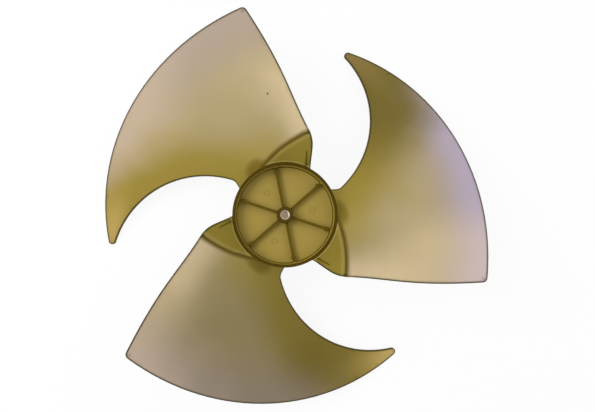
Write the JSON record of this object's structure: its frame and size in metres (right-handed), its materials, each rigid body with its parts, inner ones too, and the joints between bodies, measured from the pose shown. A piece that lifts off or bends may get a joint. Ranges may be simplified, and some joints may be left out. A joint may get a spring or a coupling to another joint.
{
  "type": "fan impeller",
  "caption": "Axial fan impeller moulded in one piece of translucent plastic: sickle blades on a ribbed cup hub with a flatted shaft hole.",
  "frame": {"origin": "centre of the shaft hole at the boss's motor end", "axes": "+Z along the shaft, from the motor towards the nut and the way the air leaves; +X through the middle of one blade's root"},
  "size_m": [0.4, 0.3954, 0.1039],
  "materials": {
    "amber_plastic": "satin, translucent amber"
  },
  "bodies": {
    "root": {"fan_impeller": "amber_plastic"}
  },
  "joints": []
}
